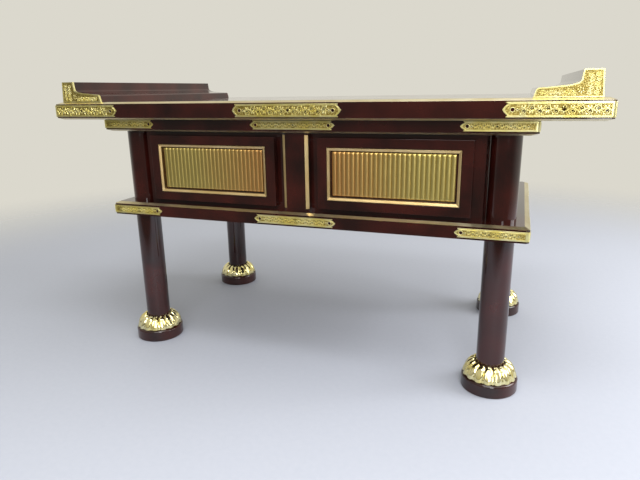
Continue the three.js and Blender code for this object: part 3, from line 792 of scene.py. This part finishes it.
def plate_with_fields(outline, fields):
    """A plate; each field is its outline, its nail holes (u, v, radius) with a raised eyelet, and
    its piercings (u, v, radius, radius of the painted shade round it)."""
    bm = bmesh.new()
    outer = ring_of(bm, outline)
    finish_at, rims = {}, []
    for field, holes, piercings in fields:
        rim = ring_of(bm, field)
        rims += rim
        inner = []
        for u, v, radius in holes:
            eyelet = ring_of(bm, circle(u, v, radius + EYELET))
            fill_between(bm, eyelet + ring_of(bm, circle(u, v, radius)))
            inner += eyelet
        for u, v, radius, shade_radius in piercings:
            # A ring round each piercing gets the darker ground, as painted shade.
            shade_ring = ring_of(bm, circle(u, v, shade_radius, 12))
            shaded_faces = fill_between(bm, shade_ring + ring_of(bm, circle(u, v, radius, 8)))
            finish_at.update((flat_middle(face), IN_PAINTED_SHADE) for face in shaded_faces)
            inner += shade_ring
        ground = fill_between(bm, rim + inner)
        finish_at.update((flat_middle(face), ON_GROUND) for face in ground)
    fill_between(bm, outer + rims)
    front = extrude(bm, bm.faces[:], 0, 0, RIM_LEVEL, keep=True)
    for face in front:
        face.material_index = finish_at.get(flat_middle(face), ON_RIM)
    sunk = [f for f in front if f.material_index != ON_RIM]
    extrude(bm, sunk, 0, 0, -FIELD_SUNK)
    bmesh.ops.delete(bm, geom=[f for f in sunk if f.is_valid], context="FACES")
    face_outward(bm)
    soften(bm, RIM_ROUND, 60, above=RIM_LEVEL - 0.01)    # rims and eyelets catch the light as a line
    beads = [[(u, v, BEAD) for u, v in [*field, field[0]]] for field, holes, piercings in fields]
    add_strokes(bm, beads, RIM_LEVEL - BEAD_SUNK)
    return bm

# %% [markdown]
# ## The scrolling vine
# The vine is the usual one on altar fittings: a stem that waves along the field, a tendril that
# curls into each hollow of the wave round a pierced flower, and leaves that spring from it. Every
# stroke is a line with a thickness that swells and thins, like one pull of a brush. Blender's curves
# do just that: each point has a radius, and a round bevel follows it. The strokes are pressed flat
# and half sunk in the field. The vine is laid out first, because the plate is pierced in its flowers.

# %% Vine strokes
STROKE_RISE = 0.5    # height of a stroke as a share of its width
THINNEST, LEAF_STEPS = 0.12, 5
# As shares of the field's half height: the thickness of stem and leaves, the width of a bay, the
# height of the wave, the way down to a curl's middle
STEM_SHARE, LEAF_SHARE, BAY_SHARE, WAVE_SHARE, HUB_SHARE = 0.11, 0.18, 1.45, 0.34, 0.26
# Size, piercing and radius of painted shade round the piercing, of the one large blossom and
# of the small ones in the curls
LARGE_BLOSSOM, SMALL_BLOSSOM = (0.72, 0.2, 0.6), (0.34, 0.11, 0.38)
# Where a petal starts, its length and its width, as shares of the blossom; its bend, in radians
PETAL_START, PETAL_LENGTH, PETAL_WIDTH, PETAL_BEND = 0.42, 0.55, 0.2, 0.5
BLOSSOM_TURN = 0.3
CURL_TURNS, CURL_CLOSES, CURL_FLAT, CURL_STEPS = 1.45, 0.78, 0.95, 14
TENDRIL_START, TENDRIL_TAPER = 1.1, 0.35    # its thickness, as shares of the stem's
CURL_LEAVES = ((0.08, 0.4), (0.2, 0.46), (0.34, 0.46), (0.48, 0.4))    # how far along it, and length
CURL_LEAF_TURN, CURL_LEAF_BEND = 0.9, 1.3
# On the crest of each wave: distance from its middle as a share of the bay, heading and bend
CREST_LEAVES, CREST_LENGTH = ((-0.1, 2.2, -1.2), (0.1, 0.9, 1.1)), 0.5


def leaf(u, v, heading, length, bend, width):
    """One stroke that swells and thins, curving as it goes; headings are in radians."""
    made = []
    for i in range(LEAF_STEPS + 1):
        swell = sin(pi * (0.12 + 0.88 * (i / LEAF_STEPS))) ** 0.8
        made.append((u, v, max(THINNEST, width * swell)))
        u += length / LEAF_STEPS * cos(heading)
        v += length / LEAF_STEPS * sin(heading)
        heading += bend / LEAF_STEPS
    return made


def blossom(u, v, size, petals=6):
    """Petals round a middle that is left free for a piercing."""
    strokes = []
    for i in range(petals):
        heading = 2 * pi * i / petals + BLOSSOM_TURN
        start = size * PETAL_START
        strokes.append(leaf(u + start * cos(heading), v + start * sin(heading), heading,
                            size * PETAL_LENGTH, PETAL_BEND, size * PETAL_WIDTH))
    return strokes


def curl(middle, hub, bay, half, side):
    """A tendril that closes in on a hub, and the leaves that spring from it."""
    def point_at(share):
        angle = -side * 2 * pi * CURL_TURNS * share
        reach = (bay * 0.5) * (1 - CURL_CLOSES * share)
        return angle, middle + reach * cos(angle), hub + reach * CURL_FLAT * sin(angle)

    tendril = []
    for i in range(CURL_STEPS + 1):
        _, u, v = point_at(i / CURL_STEPS)
        taper = TENDRIL_START - TENDRIL_TAPER * (i / CURL_STEPS)
        tendril.append((u, v, half * STEM_SHARE * taper))
    leaves = []
    for share, length in CURL_LEAVES:
        angle, u, v = point_at(share)
        leaves.append(leaf(u, v, angle - side * CURL_LEAF_TURN, half * length,
                           side * CURL_LEAF_BEND, half * LEAF_SHARE))
    return [tendril, *leaves]


def vine(u0, u1, half, flowering=True):
    """A vine that fills a field from u0 to u1 and half as high on either side of v = 0, with one
    large blossom in its middle if it is flowering. Returns its strokes and its piercings."""
    bays = max(2, round((u1 - u0) / (half * BAY_SHARE)))
    bay = (u1 - u0) / bays
    wave = WAVE_SHARE * half
    stem_steps = bays * 6
    strokes = [[(u0 + (u1 - u0) * i / stem_steps, wave * sin(pi * bays * i / stem_steps),
                 half * STEM_SHARE) for i in range(stem_steps + 1)]]
    piercings = []
    for k in range(bays):
        side = 1 if k % 2 == 0 else -1
        middle = u0 + (k + 0.5) * bay
        large = flowering and k == bays // 2
        hub = 0 if large else -side * half * HUB_SHARE
        size, hole, shade_radius = (half * share for share in (LARGE_BLOSSOM if large else SMALL_BLOSSOM))
        strokes += blossom(middle, hub, size, 7 if large else 5)
        piercings.append((middle, hub, hole, shade_radius))
        if large:
            continue
        strokes += curl(middle, hub, bay, half, side)
        for step, heading, bend in CREST_LEAVES:
            strokes.append(leaf(middle + bay * step, side * wave, side * heading,
                                half * CREST_LENGTH, side * bend, half * LEAF_SHARE))
    kept = [[(u, min(max(v, -half + r), half - r), r) for u, v, r in line] for line in strokes]
    return kept, piercings


def add_strokes(bm, strokes, level):
    """Makes strokes of (u, v, radius) into flattened tubes that lie at a level of n."""
    curve = bpy.data.curves.new("strokes", "CURVE")
    curve.dimensions, curve.bevel_depth, curve.bevel_resolution = "3D", 1.0, 1
    curve.use_fill_caps = True
    for line in strokes:
        spline = curve.splines.new("POLY")
        spline.points.add(len(line) - 1)
        for point, (u, v, radius) in zip(spline.points, line):
            point.co, point.radius = (u, v, 0, 1), radius
    holder = bpy.data.objects.new("strokes", curve)
    mesh = bpy.data.meshes.new_from_object(holder)
    tubes = bmesh.new()
    tubes.from_mesh(mesh)
    bmesh.ops.remove_doubles(tubes, verts=tubes.verts, dist=0.001)
    bmesh.ops.transform(tubes, verts=tubes.verts, matrix=(
        Matrix.Translation((0, 0, level)) @ Matrix.Diagonal((1, 1, 2 * STROKE_RISE, 1))))
    for vert in tubes.verts:
        vert.co.z = min(vert.co.z, PLATE)
    tubes.to_mesh(mesh)
    tubes.free()
    bm.from_mesh(mesh)
    bpy.data.objects.remove(holder)
    bpy.data.curves.remove(curve)
    bpy.data.meshes.remove(mesh)

# %% [markdown]
# ## Ends, straight fittings and bent fittings
# A rounded point with a small notch at either side closes each end. A middle fitting has a point at
# both ends. A corner fitting is drawn flat too, with two fields, and is then bent round the board's
# corner, as the brass smith does it.

# %% Ends of the fittings
POINT_DEPTH, POINT_SHARE, CUSP_SHARE = 7, 0.62, 0.81
NOTCH_DEPTH, SQUARE_DEPTH = 9.5, 6.5    # in from the tip to the notch's floor, and to the square end
END_HOLE, SMALL_HOLE, HOLE_GAP = 3.4, 1.2, 8
VINE_GAP, FIELD_GAP, FIELD_MARGIN = 3.5, 2.0, 1.2    # hole to vine, bend to field, field to vine
BEND_RADIUS, BEND_CUTS = 5, 6
BEND_LENGTH = BEND_RADIUS * pi / 2


def both_halves(upper):
    """An end from its lower to its upper edge, from its upper half."""
    return [(along, -up) for along, up in reversed(upper[1:])] + upper


def pointed_end(half):
    """The plate's end: distance in from the tip, and height."""
    tip = bezier((0, 0), (1.4, half * 0.16), (3.8, half * 0.44), (POINT_DEPTH, half * POINT_SHARE), 6)
    notch = bezier((POINT_DEPTH, half * POINT_SHARE), (NOTCH_DEPTH, half * 0.66),
                   (NOTCH_DEPTH, half * 0.78), (POINT_DEPTH, half * CUSP_SHARE), 4)
    return both_halves([*tip, *notch[1:], (SQUARE_DEPTH, half)])


def field_end(half):
    """The field's simpler point, inside the rim."""
    inner = half - RIM
    return both_halves(
        bezier((4.4, 0), (4.8, inner * 0.35), (8.3, inner * 0.60), (12.5, inner), 5))


def both_ends(end, reach):
    """A closed outline with the same end at u = reach and at u = -reach."""
    return [(reach - along, v) for along, v in end] + [(along - reach, v) for along, v in reversed(end)]


def middle_fitting(length, half, hole_inset):
    reach = length / 2
    holes = [(s * (reach - inset), 0, radius) for s in (-1, 1)
             for inset, radius in ((hole_inset, END_HOLE), (hole_inset + HOLE_GAP, SMALL_HOLE))]
    start = reach - hole_inset - HOLE_GAP - VINE_GAP
    strokes, piercings = vine(-start, start, half - RIM - BEAD)
    bm = plate_with_fields(both_ends(pointed_end(half), reach),
                           [(both_ends(field_end(half), reach), holes, piercings)])
    add_strokes(bm, strokes, RIM_LEVEL - FIELD_SUNK)
    return bm


def corner_fitting(length, half, hole_inset, nail_at):
    """Drawn flat with the corner at u = 0; each leaf is as long as it is measured on the board."""
    reach = length - BEND_RADIUS + BEND_LENGTH / 2
    near = BEND_LENGTH / 2 + FIELD_GAP
    side = half - RIM
    start, stop = near + FIELD_MARGIN, reach - hole_inset - HOLE_GAP - VINE_GAP
    if nail_at:
        nail = nail_at - BEND_RADIUS + BEND_LENGTH / 2
        start = nail + VINE_GAP
    strokes, piercings = vine(start, stop, side - BEAD)
    fields = []
    for s in (-1, 1):
        loop = [(s * (reach - along), v) for along, v in field_end(half)]
        loop += [(s * near, side), (s * near, -side)]
        holes = [(s * (reach - hole_inset), 0, END_HOLE),
                 (s * (reach - hole_inset - HOLE_GAP), 0, SMALL_HOLE)]
        if nail_at:
            holes.append((s * nail, 0, SMALL_HOLE))
        fields.append((loop, holes, [(s * u, *rest) for u, *rest in piercings]))
    bm = plate_with_fields(both_ends(pointed_end(half), reach), fields)
    both_sides = [[(s * u, v, r) for u, v, r in stroke] for s in (-1, 1) for stroke in strokes]
    add_strokes(bm, both_sides, RIM_LEVEL - FIELD_SUNK)
    return bm


def bend_round_corner(bm, x, y):
    """Bends a flat corner fitting round a board's corner at (x, -y); n becomes outward."""
    for i in range(BEND_CUTS + 1):
        slit(bm, (-BEND_LENGTH / 2 + BEND_LENGTH * i / BEND_CUTS, 0, 0), (1, 0, 0))
    cx, cy = x - BEND_RADIUS, -y + BEND_RADIUS
    for vert in bm.verts:
        u, v, n = vert.co
        turn = min(max((u + BEND_LENGTH / 2) / BEND_RADIUS, 0), pi / 2)
        before = min(u + BEND_LENGTH / 2, 0)
        past = max(u - BEND_LENGTH / 2, 0)
        reach = BEND_RADIUS + n
        vert.co = (cx + reach * sin(turn) + before, cy - reach * cos(turn) + past, v)


def stand_on_front(bm, y):
    """Turns a flat fitting to face the front at -y."""
    bmesh.ops.transform(bm, verts=bm.verts,
                        matrix=Matrix(((1, 0, 0, 0), (0, 0, -1, -y), (0, 1, 0, 0), (0, 0, 0, 1))))

# %% Fit them to the boards
FITTING_FINISHES = [brass, punched_ground, shaded_ground]    # by ON_RIM, ON_GROUND and IN_PAINTED_SHADE
# How far the plates' lower and upper edges lie above the CAD's: lacquer shows on both sides of them
PLATE_SHIFTS = {"top": (0.5, 0.5), "under": (1.0, -4.0), "shelf": (2.0, -3.0)}
# Length of a corner fitting's leaf and of a middle fitting, place of the end hole, and of a nail near
# the corner
LOWER_LENGTHS = (142, 194, 13.5, 20)
FITTING_LENGTHS = {"top": (182, 243, 17.5, None), "under": LOWER_LENGTHS, "shelf": LOWER_LENGTHS}
for board, (length, middle_length, hole_inset, nail_at) in FITTING_LENGTHS.items():
    board_low, board_high = box_mm(board + "_board")
    low, high = box_mm(board + "_fitting_middle")
    bottom, top = low.z + PLATE_SHIFTS[board][0], high.z + PLATE_SHIFTS[board][1]
    half, level = (top - bottom) / 2, (top + bottom) / 2
    bm = middle_fitting(middle_length, half, hole_inset)
    stand_on_front(bm, board_high.y)
    shift(bm, 0, 0, level)
    add_piece("chased", board + "_fitting_middle", bm, "chased_brass", *FITTING_FINISHES, sharp=40)
    bent = corner_fitting(length, half, hole_inset, nail_at)
    bend_round_corner(bent, board_high.x, board_high.y)
    for corner, (sx, sy) in CORNERS.items():
        bm = bent.copy()
        stretch(bm, sx, sy, 1)
        if sx * sy < 0:
            bmesh.ops.reverse_faces(bm, faces=bm.faces)
        shift(bm, 0, 0, level)
        add_piece("chased", f"{board}_fitting_{corner}", bm, "chased_brass", *FITTING_FINISHES,
                  sharp=40)
    bent.free()
print("fittings chased and bent")

# %% [markdown]
# ## Fittings of the scroll ends
# The front of each scroll end has its own plate, cut to the moulding's outline, with a lip that runs
# a little way back over the hollow curve and the toe. The rim is an inset of the same outline.

# %% Scroll fittings
LIP_DEPTH, LIP_GAP, SCROLL_RIM, RIM_SLOPE = 4, 0.3, 2.2, 0.3
SCROLL_VINE = 5.2    # half width of the vines on the scroll fittings
# Start, length and heading of each vine: two up the tall part and one along the toe
SCROLL_VINES = ((11.5, 7, 37, pi / 2), (22.5, 7, 35, pi / 2), (102, 10.6, 58, pi))


def moved_out(line, distance):
    """The same open line, moved out along its normals."""
    made = []
    for i, point in enumerate(line):
        before, after = line[max(i - 1, 0)], line[min(i + 1, len(line) - 1)]
        dx, dz = after[0] - before[0], after[1] - before[1]
        size = hypot(dx, dz)
        made.append((point[0] - dz / size * distance, max(0, point[1] + dx / size * distance)))
    return made


def along_strip(strokes, u0, v0, heading):
    """Moves strokes so that their line starts at a point and runs in a heading."""
    c, s = cos(heading), sin(heading)
    return [[(u0 + u * c - v * s, v0 + u * s + v * c, r) for u, v, r in line] for line in strokes]


def scroll_fitting():
    inner = scroll_inner_line()
    edge = moved_out(inner, PLATE)
    foot = BOARDS["top_board"][1]
    outline = [(u, max(v, foot)) for u, v in [(0, 0), (SCROLL_LEAN, SCROLL_HEIGHT), *edge]]
    bm = filled([(u, v, 0) for u, v in reversed(outline)])
    front = extrude(bm, bm.faces[:], 0, 0, PLATE, keep=True)
    bmesh.ops.inset_region(bm, faces=front, thickness=SCROLL_RIM, use_even_offset=True)
    bmesh.ops.inset_region(bm, faces=front, thickness=RIM_SLOPE, depth=-FIELD_SUNK,
                           use_even_offset=True)
    front[0].material_index = ON_GROUND
    face_outward(bm)
    strokes = blossom(37, 15, 6)
    for u, v, length, heading in SCROLL_VINES:
        strokes += along_strip(vine(0, length, SCROLL_VINE, flowering=False)[0], u, v, heading)
    add_strokes(bm, strokes, PLATE - FIELD_SUNK)
    stand_on_front(bm, -scroll_low.y)
    lip = [*moved_out(inner, LIP_GAP), *reversed(edge)]
    take_in(bm, drawn_out(lip, scroll_low.y - PLATE / 2, scroll_low.y + LIP_DEPTH))
    return bm


for side, name in SIDES:
    bm = scroll_fitting()
    mirror_to(bm, side, scroll_high.x)
    add_piece("chased", "scroll_fitting_" + name, bm, "chased_brass", brass, punched_ground, sharp=40)
print("scroll fittings made")

# %% [markdown]
# ## Floor, world and lamps
# The studio is plain: a pale floor that fades into a pale surround, soft light from above, and tall
# soft panels at the sides. Gloss is only as good as what it mirrors, so the panels stand where the
# columns reflect them as upright streaks, and the surround is also what the metal sees.

# %% Studio
FLOOR_HALF, FADE_START, FADE_END = 12.0, 1.3, 2.8
FLOOR_DEEP, FLOOR_PALE, SURROUND_COLOUR = colour("#aeb3c0"), colour("#b5b9c5"), colour("#dbd8cd")
FLOOR_EDGE, FLOOR_EDGE_FADE = -0.95, 0.4    # in front of the desk, out of the camera's view
# How bright the surround is as a fill light, and the share of that behind the camera, low in front
FILL, DUSK = 0.84, 0.25
DUSK_BEHIND, DUSK_ABOVE = (-0.75, 0.25), (0.05, 0.45)    # where the dusk ends, going back and up
NUMBER_A, NUMBER_B = 2, 3    # sockets of a Mix node that mixes numbers


def make_floor():
    finish, tree, place = start_finish("pale_studio_floor")
    weave = add_node(tree, "ShaderNodeTexNoise", {
        "Vector": place, "Scale": per_metre(12), "Detail": 2.0})
    tint = add_node(tree, "ShaderNodeMix", {
        MIX_SHARE: weave.outputs["Fac"], MIX_A: FLOOR_DEEP, MIX_B: FLOOR_PALE}, data_type="RGBA")
    matt = add_node(tree, "ShaderNodeBsdfPrincipled", {
        "Base Color": tint.outputs[MIX_RESULT], "Roughness": 0.6})
    distance = add_node(tree, "ShaderNodeVectorMath", {0: place}, operation="LENGTH")
    fade = add_node(tree, "ShaderNodeMapRange", {
        "Value": distance.outputs["Value"], "From Min": FADE_START, "From Max": FADE_END},
        interpolation_type="SMOOTHSTEP")
    depth = add_node(tree, "ShaderNodeSeparateXYZ", {"Vector": place})
    front = add_node(tree, "ShaderNodeMapRange", {
        "Value": depth.outputs["Y"],
        "From Min": FLOOR_EDGE, "From Max": FLOOR_EDGE - FLOOR_EDGE_FADE})
    gone = add_node(tree, "ShaderNodeMath", {
        0: fade.outputs["Result"], 1: front.outputs["Result"]}, operation="MAXIMUM")
    clear = add_node(tree, "ShaderNodeBsdfTransparent")
    faded = add_node(tree, "ShaderNodeMixShader", {
        0: gone.outputs["Value"], 1: matt.outputs["BSDF"], 2: clear.outputs["BSDF"]})
    add_node(tree, "ShaderNodeOutputMaterial", {"Surface": faded.outputs["Shader"]})
    return finish


bm = bmesh.new()
bmesh.ops.create_grid(bm, x_segments=8, y_segments=8, size=FLOOR_HALF)
floor = new_object("studio_floor", bm, [make_floor()])

world = bpy.data.worlds.new("pale_surround")
world.use_nodes = True
tree = world.node_tree
tree.nodes.clear()
path = add_node(tree, "ShaderNodeLightPath")
heading = add_node(tree, "ShaderNodeSeparateXYZ", {
    "Vector": add_node(tree, "ShaderNodeTexCoord").outputs["Generated"]})
behind = add_node(tree, "ShaderNodeMapRange", {
    "Value": heading.outputs["Y"], "From Min": DUSK_BEHIND[0], "From Max": DUSK_BEHIND[1],
    "To Min": DUSK}, interpolation_type="SMOOTHSTEP")
above = add_node(tree, "ShaderNodeMapRange", {
    "Value": heading.outputs["Z"], "From Min": DUSK_ABOVE[0], "From Max": DUSK_ABOVE[1],
    "To Min": DUSK}, interpolation_type="SMOOTHSTEP")
mirrored = add_node(tree, "ShaderNodeMath", {
    0: behind.outputs["Result"], 1: above.outputs["Result"]}, operation="MAXIMUM")
fill = add_node(tree, "ShaderNodeMath", {0: mirrored.outputs["Value"], 1: FILL}, operation="MULTIPLY")
shiny = add_node(tree, "ShaderNodeMath", {
    0: path.outputs["Is Glossy Ray"], 1: path.outputs["Is Transmission Ray"]}, operation="MAXIMUM")
reflected = add_node(tree, "ShaderNodeMix", {
    MIX_SHARE: shiny.outputs["Value"], NUMBER_A: fill.outputs["Value"],
    NUMBER_B: mirrored.outputs["Value"]}, data_type="FLOAT")
strength = add_node(tree, "ShaderNodeMix", {
    MIX_SHARE: path.outputs["Is Camera Ray"], NUMBER_A: reflected.outputs["Result"],
    NUMBER_B: 1.0}, data_type="FLOAT")
sky = add_node(tree, "ShaderNodeBackground", {
    "Color": SURROUND_COLOUR, "Strength": strength.outputs["Result"]})
add_node(tree, "ShaderNodeOutputWorld", {"Surface": sky.outputs["Background"]})
bpy.context.scene.world = world


def add_lamp(name, place, aim, width, height, watts):
    """A soft rectangular panel that faces a point."""
    lamp = bpy.data.lights.new(name, "AREA")
    lamp.shape, lamp.size, lamp.size_y, lamp.energy = "RECTANGLE", width, height, watts
    holder = bpy.data.objects.new(name, lamp)
    holder.location = place
    holder.rotation_euler = (Vector(aim) - Vector(place)).to_track_quat("-Z", "Y").to_euler()
    bpy.context.scene.collection.objects.link(holder)


add_lamp("ceiling_panel", (1.6, -0.3, 3.2), (0.9, -0.3, 0), 4.0, 4.0, 62)
add_lamp("ceiling_lamp", (0.3, -0.9, 2.5), (0, -0.2, 0), 1.2, 0.5, 16)
add_lamp("front_panel", (0.6, -2.6, 1.9), (0.1, -0.3, 0.5), 2.0, 1.2, 32)
add_lamp("right_panel", (2.8, 0.2, 1.6), (0.2, -0.2, 0.3), 1.8, 1.6, 64)
add_lamp("right_strip", (1.0, -2.3, 1.0), (0.35, -0.3, 0.45), 0.5, 1.2, 12)
bpy.context.scene.view_settings.view_transform = "Standard"
print("studio set up")
